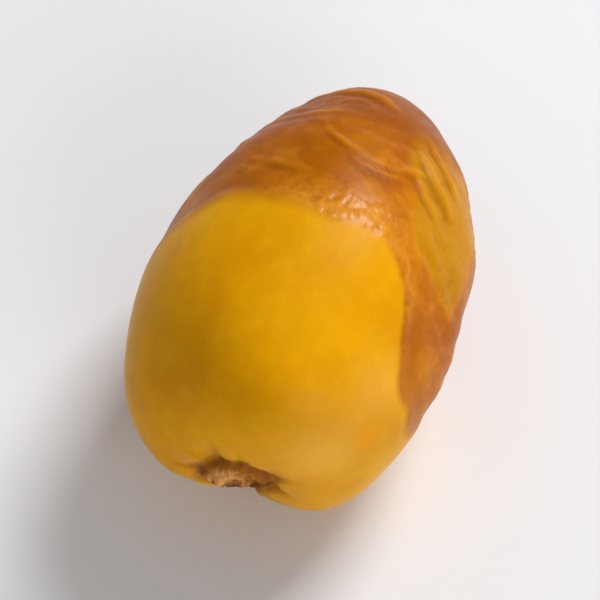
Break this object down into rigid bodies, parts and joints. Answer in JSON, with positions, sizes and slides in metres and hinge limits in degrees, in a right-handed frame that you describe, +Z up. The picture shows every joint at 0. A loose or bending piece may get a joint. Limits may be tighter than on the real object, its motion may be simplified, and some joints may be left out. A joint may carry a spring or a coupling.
{
  "type": "khalas date",
  "caption": "Half-ripe date fruit lying on its side: firm golden skin, a wrinkled ripe amber end and a sunken stem scar.",
  "frame": {"origin": "centre of the bounding box's base, on the surface the fruit lies on", "axes": "+X along the fruit from its stem end to its tip, +Y across it, +Z up"},
  "size_m": [0.0368, 0.025, 0.0239],
  "materials": {
    "skin": "satin wax on the firm part, moist gloss on the ripe part"
  },
  "bodies": {
    "root": {"date": "skin"}
  },
  "joints": []
}
